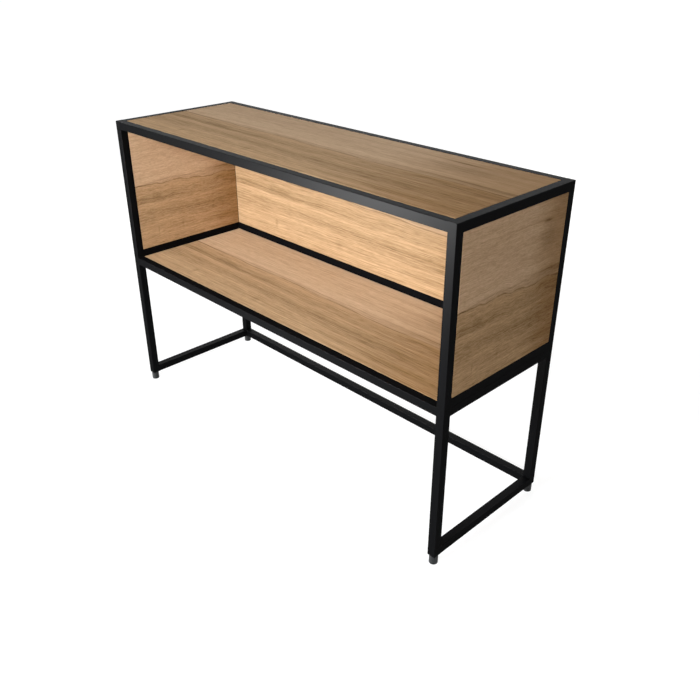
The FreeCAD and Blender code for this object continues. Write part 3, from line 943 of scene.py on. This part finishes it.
@dataclass
class TabbedBoard:
    """A board that lies inside the tubes and is screwed to welded tabs: the top, the shelf or the back."""

    nodes: dict[str, Object]
    label: str
    facing: Facing
    veneer: WalnutVeneer
    plating: ZincPlate = field(default_factory=ZincPlate)
    columns: int = TAB_COLUMNS
    rows: int = TAB_ROWS
    head_diameter: float = 7.5 * MM
    shank_diameter: float = 4.0 * MM
    screw_length: float = 15.0 * MM
    tip_length: float = 3.0 * MM
    slot_length: float = 3.8 * MM
    slot_width: float = 0.9 * MM
    slot_depth: float = 1.5 * MM
    steps_around: int = 32
    sharp_deg: float = 35.0

    def screw_tree(self) -> PieceTree:
        """Build the tree of a grid of countersunk screws with cross recesses.

        Returns:
            The tree.
        """
        low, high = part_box(self.label + "_screws")
        span = high - low
        middle = (low + high) / 2
        if self.facing is Facing.DOWN:
            across = span.y
            face = (middle.x, middle.y, low.z)
        else:
            across = span.z
            face = (middle.x, high.y, middle.z)
        made = PieceTree(self.label + "_screws", {
            "Columns": self.columns,
            "Rows": self.rows,
            "Span Along": span.x - self.head_diameter,
            "Span Across": across - self.head_diameter,
            "Head Radius": self.head_diameter / 2,
            "Shank Radius": self.shank_diameter / 2,
            "Length": self.screw_length,
            "Tip": self.tip_length,
            "Slot Length": self.slot_length,
            "Slot Width": self.slot_width,
            "Slot Depth": self.slot_depth,
            "Steps Around": self.steps_around,
            "Face": face,
            "Turn": self.facing.value,
        })
        tree = made.tree
        head = made.size("Head Radius")
        shank = made.size("Shank Radius")
        around = made.size("Steps Around")
        countersink = add_node(tree, MATH, SUBTRACT, (head, shank))
        tip_start = add_node(tree, MATH, SUBTRACT, (made.size("Length"), made.size("Tip")))
        straight = add_node(tree, MATH, SUBTRACT, (tip_start, countersink))
        disc = add_node(tree, "GeometryNodeMeshCircle", {"fill_type": "NGON"}, {
            "Vertices": around, "Radius": head,
        })
        parts = [add_node(tree, "GeometryNodeFlipFaces", inputs=(disc,))]
        for bottom, top, depth, start in (
            (head, shank, countersink, 0.0),
            (shank, shank, straight, countersink),
            (shank, 0.0, made.size("Tip"), tip_start),
        ):
            cone = add_node(tree, "GeometryNodeMeshCone", {"fill_type": "NONE"}, {
                "Vertices": around, "Radius Bottom": bottom, "Radius Top": top, "Depth": depth,
            })
            lift = add_node(tree, COMBINE, inputs={"Z": start})
            parts.append(add_node(tree, TRANSFORM, inputs={"Geometry": cone, "Translation": lift}))
        blank = add_node(tree, MERGE, inputs={
            "Geometry": add_node(tree, JOIN, inputs=(parts,)), "Distance": TOUCHING,
        })
        # A slot's cutter reaches as far above the head's face as below it.
        cutter_height = add_node(tree, MATH, MULTIPLY, (made.size("Slot Depth"), 2.0))
        cutters = []
        for along, aside in (("Slot Length", "Slot Width"), ("Slot Width", "Slot Length")):
            box = add_node(tree, COMBINE, inputs=(made.size(along), made.size(aside), cutter_height))
            cutters.append(add_node(tree, "GeometryNodeMeshCube", inputs={"Size": box}))
        screw = add_node(tree, "GeometryNodeMeshBoolean", {"operation": "DIFFERENCE", "solver": "EXACT"}, {
            "Mesh 1": blank, "Mesh 2": cutters,
        })
        grid = add_node(tree, "GeometryNodeMeshGrid", inputs={
            "Size X": made.size("Span Along"),
            "Size Y": made.size("Span Across"),
            "Vertices X": made.size("Columns"),
            "Vertices Y": made.size("Rows"),
        })
        group = add_node(tree, "GeometryNodeInstanceOnPoints", inputs={"Points": grid, "Instance": screw})
        made.close(add_node(tree, TRANSFORM, inputs={
            "Geometry": group,
            "Translation": made.size("Face"),
            "Rotation": add_node(tree, "FunctionNodeEulerToRotation", inputs=(made.size("Turn"),)),
        }))
        return made

    def build(self) -> None:
        """Set the screws with their cross recesses in place of the plain ones."""
        node = self.label + "_screws"
        piece = self.screw_tree().piece(self.label + "_cross_screws", self.plating, self.sharp_deg)
        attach(piece, "frame")
        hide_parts(node)
        LOG.info("%s stands for %s", piece.name, node)

    def dress(self) -> None:
        """Veneer the board."""
        dress(self.nodes, [self.label], self.veneer)


@dataclass
class EndBoard:
    """An end board, held by pins on its front post and screws from inside its rear post."""

    nodes: dict[str, Object]
    side: str
    veneer: WalnutVeneer
    plug: MouldedPlastic
    plating: ZincPlate = field(default_factory=ZincPlate)

    def dress(self) -> None:
        """Veneer the board, plate its fixings and finish the plugs behind it."""
        board = self.side + "_panel"
        dress(self.nodes, [board], self.veneer)
        dress(self.nodes, [board + "_pins", board + "_screws"], self.plating)
        dress(self.nodes, ["rear_" + self.side + "_post_plugs"], self.plug)


@dataclass
class LevellingFoot:
    """A foot that screws in and out of a leg: a moulded foot, its stud and the insert."""

    nodes: dict[str, Object]
    corner: str
    foot: MouldedPlastic
    insert: MouldedPlastic
    plating: ZincPlate = field(default_factory=ZincPlate)
    pitch: float = 1.25 * MM
    thread_depth: float = 0.7 * MM
    end_chamfer: float = 1.0 * MM
    steps_around: int = 36
    steps_per_pitch: int = 8
    merge_distance: float = 0.005 * MM
    sharp_deg: float = 50.0

    def thread_tree(self) -> PieceTree:
        """Build the tree of a stud: a sheet wrapped round the axis, with its radius following the helix.

        Returns:
            The tree.
        """
        low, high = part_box(self.corner + "_foot_stud")
        made = PieceTree(self.corner + "_stud", {
            "Length": high.z - low.z,
            "Radius": (high.x - low.x) / 2,
            "Thread Depth": self.thread_depth,
            "Pitch": self.pitch,
            "Chamfer": self.end_chamfer,
            "Steps Around": self.steps_around,
            "Rows": round((high.z - low.z) / self.pitch * self.steps_per_pitch),
            "Foot": ((low.x + high.x) / 2, (low.y + high.y) / 2, low.z),
        })
        tree = made.tree
        length = made.size("Length")
        radius = made.size("Radius")
        rows = made.size("Rows")

        # The sheet runs from 0 to 1 round the stud and up it. Its first and last row close the ends.
        half = 0.5
        sheet = add_node(tree, "GeometryNodeMeshGrid", inputs={
            "Size X": 1.0,
            "Size Y": 1.0,
            "Vertices X": add_node(tree, MATH, ADD, (made.size("Steps Around"), 1.0)),
            "Vertices Y": rows,
        })
        place = add_node(tree, VECTOR_MATH, ADD, (
            add_node(tree, "GeometryNodeInputPosition"), (half, half, 0.0),
        ))
        spread = add_node(tree, SPLIT, inputs=(place,))
        turn = spread.outputs["X"]
        climb = spread.outputs["Y"]
        row = add_node(tree, MATH, DIVIDE, (1.0, add_node(tree, MATH, SUBTRACT, (rows, 1.0))))
        height = add_node(tree, MAP_RANGE, inputs={
            "Value": climb,
            "From Min": row,
            "From Max": add_node(tree, MATH, SUBTRACT, (1.0, row)),
            "To Max": length,
        })

        # The groove deepens and rises again once in a pitch, and each end is chamfered.
        turns = add_node(tree, MATH, DIVIDE, (height, made.size("Pitch")))
        phase = add_node(tree, MATH, SUBTRACT, (turns, turn))
        flank = add_node(tree, MATH, {"operation": "PINGPONG"}, (phase, half))
        sunk = add_node(tree, MATH, DIVIDE, (flank, half))
        groove = add_node(tree, MATH, MULTIPLY, (sunk, made.size("Thread Depth")))
        threaded = add_node(tree, MATH, SUBTRACT, (radius, groove))
        from_top = add_node(tree, MATH, SUBTRACT, (length, height))
        from_end = add_node(tree, MATH, MINIMUM, (height, from_top))
        end_radius = add_node(tree, MATH, SUBTRACT, (radius, made.size("Chamfer")))
        tapered = add_node(tree, MATH, ADD, (end_radius, from_end))
        body = add_node(tree, MATH, MINIMUM, (threaded, tapered))

        off_end = add_node(tree, MATH, MINIMUM, (climb, add_node(tree, MATH, SUBTRACT, (1.0, climb))))
        inside = add_node(tree, MATH, {"operation": "GREATER_THAN"}, (
            off_end, add_node(tree, MATH, MULTIPLY, (row, half)),
        ))
        outline = add_node(tree, COMBINE, inputs={
            "X": add_node(tree, MATH, MULTIPLY, (body, inside)), "Z": height,
        })
        wrapped = add_node(tree, "ShaderNodeVectorRotate", {"rotation_type": "Z_AXIS"}, {
            "Vector": outline, "Angle": add_node(tree, MATH, MULTIPLY, (turn, math.tau)),
        })
        stud = add_node(tree, MERGE, inputs={
            "Geometry": add_node(tree, "GeometryNodeSetPosition", inputs={
                "Geometry": sheet, "Position": wrapped,
            }),
            "Distance": self.merge_distance,
        })
        made.close(add_node(tree, TRANSFORM, inputs={"Geometry": stud, "Translation": made.size("Foot")}))
        return made

    def build(self) -> None:
        """Cut the thread on the stud."""
        node = self.corner + "_foot_stud"
        piece = self.thread_tree().piece(self.corner + "_threaded_stud", self.plating, self.sharp_deg)
        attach(piece, self.corner + "_leveller")
        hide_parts(node)
        LOG.info("%s stands for %s", piece.name, node)

    def dress(self) -> None:
        """Finish the foot and the insert."""
        dress(self.nodes, [self.corner + "_foot"], self.foot)
        dress(self.nodes, [self.corner + "_leg_insert"], self.insert)


def aim_at(item: Object, place: Place, aim: Place) -> None:
    """Stand a lamp or a camera in its place and turn it to a point.

    Args:
        item: The lamp or the camera.
        place: Where it stands.
        aim: The point that it faces.
    """
    item.location = place
    item.rotation_euler = (Vector(aim) - Vector(place)).to_track_quat("-Z", "Y").to_euler()


def seen_directly(tree: NodeTree) -> Source:
    """Tell camera, glossy and transmission rays, which show a background, from those that light.

    Args:
        tree: The node tree that asks.

    Returns:
        One for a ray that shows it, and nothing for another.
    """
    path = add_node(tree, "ShaderNodeLightPath")
    seen = path.outputs["Is Camera Ray"]
    for ray in ("Is Glossy Ray", "Is Transmission Ray"):
        seen = add_node(tree, MATH, MAXIMUM, (seen, path.outputs[ray]))
    return seen


class Glow(Enum):
    """What a soft box gives: plain light or only the sheen on a surface."""

    PLAIN = (True, False)
    SHEEN = (False, True)


@dataclass(frozen=True)
class SoftBox:
    """A flat studio light, so wide and so high, aimed at a point."""

    name: str
    place: Place
    watts: float
    glow: Glow = Glow.SHEEN
    colour: str = WHITE
    aim: Place = (0.0, 0.0, 0.5)
    sides: tuple[float, float] = (1.0, 1.0)

    def build(self) -> None:
        """Hang the light, out of the camera's sight."""
        lamp = bpy.data.lights.new(self.name, "AREA")
        lamp.color = linear(self.colour)[:3]
        lamp.shape = "RECTANGLE"
        lamp.size = self.sides[0]
        lamp.size_y = self.sides[1]
        lamp.energy = self.watts
        light = put(self.name, lamp)
        aim_at(light, self.place, self.aim)
        light.visible_camera = False
        light.visible_diffuse = self.glow.value[0]
        light.visible_glossy = self.glow.value[1]


@dataclass(frozen=True)
class StudioPaper(Finish):
    """Matt white studio paper.

    To the eye: white all over, apart from the object's faint shadow.
    """

    name: str = "studio_paper_white"
    colour: str = "#bcbcbc"
    seen_colour: str = "#7c7c7c"
    glow_near: float = 0.9
    glow_far: float = 1.0
    near: float = 0.7
    far: float = 2.2

    def surface(self, tree: NodeTree) -> Node:
        """Wire the paper, with a glow that only the camera, reflections and refractions see.

        Args:
            tree: The material's node tree.

        Returns:
            The shader.
        """
        seen = seen_directly(tree)
        distance = add_node(tree, VECTOR_MATH, LENGTH, (add_node(tree, COORDINATES).outputs["Object"],))
        glow = add_node(tree, MAP_RANGE, SOFTLY, {
            "Value": distance.outputs["Value"],
            "From Min": self.near,
            "From Max": self.far,
            "To Min": self.glow_near,
            "To Max": self.glow_far,
        })
        strength = add_node(tree, MATH, MULTIPLY, (seen, glow))
        light = add_node(tree, "ShaderNodeEmission", inputs={"Strength": strength})
        colour = add_node(tree, MIX, COLOURS, {
            MIX_SHARE: seen, MIX_FROM: linear(self.colour), MIX_TO: linear(self.seen_colour),
        })
        paper = add_node(tree, "ShaderNodeBsdfDiffuse", inputs={"Color": colour.outputs[MIX_RESULT]})
        return add_node(tree, "ShaderNodeAddShader", inputs=(paper, light))


@dataclass
class Studio:
    """A white floor, soft light and the camera at the photograph's viewing angle."""

    camera_place: Place = (1.3353, -1.1956, 1.2098)
    camera_aim: Place = (0.1462, -0.0303, 0.3101)
    lens_mm: float = 39.99
    sensor_mm: float = 36.0
    floor_reach: float = 30.0
    ambient: float = 0.1
    boxes: tuple[SoftBox, ...] = (
        SoftBox("key_front", (0.0, -2.4, 1.48), 116.0, Glow.PLAIN, "#f1f9ff"),
        SoftBox("fill_right", (1.8, -2.4, 1.6), 42.0, Glow.PLAIN, "#fffbf5"),
        SoftBox("fill_rear_left", (-1.8, 2.0, 0.8), 61.0, Glow.PLAIN, "#fffbf5"),
        SoftBox("sheen_front_left", (-1.13, -2.0, 0.2), 300.0, aim=(0.4, -0.19, 0.9), sides=(0.35, 0.35)),
        SoftBox("sheen_rear_left", (-4.3, 4.3, 2.35), 340.0, aim=(0.0, 0.0, 0.77), sides=(5.0, 1.0)),
        SoftBox("sheen_right", (2.6, -0.3, 1.1), 120.0),
        SoftBox("sheen_left", (-2.6, -0.3, 1.1), 260.0),
        SoftBox("sheen_front", (-0.2, -2.8, 1.1), 120.0),
        SoftBox("sheen_rear", (0.3, 2.8, 1.1), 260.0),
    )
    paper: StudioPaper = field(default_factory=StudioPaper)

    def build(self) -> None:
        """Lay the floor, hang the lights and set up the camera."""
        for corner in CORNERS:
            self.lay_floor(corner)
        for box in self.boxes:
            box.build()
        self.light_room()
        self.set_camera()

    def lay_floor(self, corner: str) -> None:
        """Lay the quarter of the floor under one foot. It stays there when the foot is screwed out.

        Args:
            corner: The foot's corner.
        """
        low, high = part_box(corner + "_foot")
        x = math.copysign(self.floor_reach, low.x + high.x)
        y = math.copysign(self.floor_reach, low.y + high.y)
        ring = [(0.0, 0.0, low.z), (x, 0.0, low.z), (x, y, low.z), (0.0, y, low.z)]
        if x * y < 0:
            ring.reverse()
        mesh = bpy.data.meshes.new(corner + "_floor")
        mesh.from_pydata(ring, [], [range(len(ring))])
        mesh.materials.append(self.paper.material())
        floor = put(corner + "_floor", mesh)
        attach(floor, corner + "_leveller")

    def light_room(self) -> None:
        """Fill the room with weak even light, and show it white."""
        world = bpy.data.worlds.new("studio_room")
        world.use_nodes = True
        tree = world.node_tree
        tree.nodes.clear()
        dim, white = (
            add_node(tree, "ShaderNodeBackground", inputs={"Color": linear(WHITE), "Strength": strength})
            for strength in (self.ambient, 1.0)
        )
        room = add_node(tree, "ShaderNodeMixShader", inputs=(seen_directly(tree), dim, white))
        add_node(tree, "ShaderNodeOutputWorld", inputs={"Surface": room})
        bpy.context.scene.world = world

    def set_camera(self) -> None:
        """Stand the camera where the photograph was taken from."""
        lens = bpy.data.cameras.new("photo_camera")
        lens.lens = self.lens_mm
        lens.sensor_width = self.sensor_mm
        camera = put("photo_camera", lens)
        aim_at(camera, self.camera_place, self.camera_aim)
        bpy.context.scene.camera = camera


def main() -> None:
    """Load the frame, build and dress each sub-assembly, and set the studio round it."""
    logging.basicConfig(level=logging.INFO, format="%(name)s: %(message)s")
    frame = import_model()
    nodes = frame["nodes"]
    bpy.context.scene.view_settings.view_transform = "Standard"
    Studio().build()

    tubes = TubeFrame(nodes)
    tubes.build()
    tubes.dress()

    top = WalnutVeneer.on_board("walnut_veneer_top", "top_panel", Cut.LYING)
    # The shelf lies under the top and carries the same leaf, painted a little paler for the stronger light
    # that falls on it.
    shelf = replace(top, name="walnut_veneer_shelf", ramp=SHELF_LIT_LEAF)
    back = WalnutVeneer.on_board("walnut_veneer_back", "back_panel", Cut.BACK)
    end = WalnutVeneer.on_board("walnut_veneer_end", "left_panel", Cut.END)
    for label, facing, veneer in (
        ("top_panel", Facing.DOWN, top),
        ("shelf_panel", Facing.DOWN, shelf),
        ("back_panel", Facing.BACK, back),
    ):
        board = TabbedBoard(nodes, label, facing, veneer)
        board.build()
        board.dress()

    grey = MouldedPlastic("polyamide_grey_moulded", "#1d1e1f", "#262728", specular=0.15)
    black = MouldedPlastic("polyethylene_black_moulded", "#0e0e0f", "#141415", specular=0.12)
    for side in ("left", "right"):
        EndBoard(nodes, side, end, black).dress()
    for corner in CORNERS:
        leveller = LevellingFoot(nodes, corner, grey, black)
        leveller.build()
        leveller.dress()


if __name__ == "__main__":
    main()
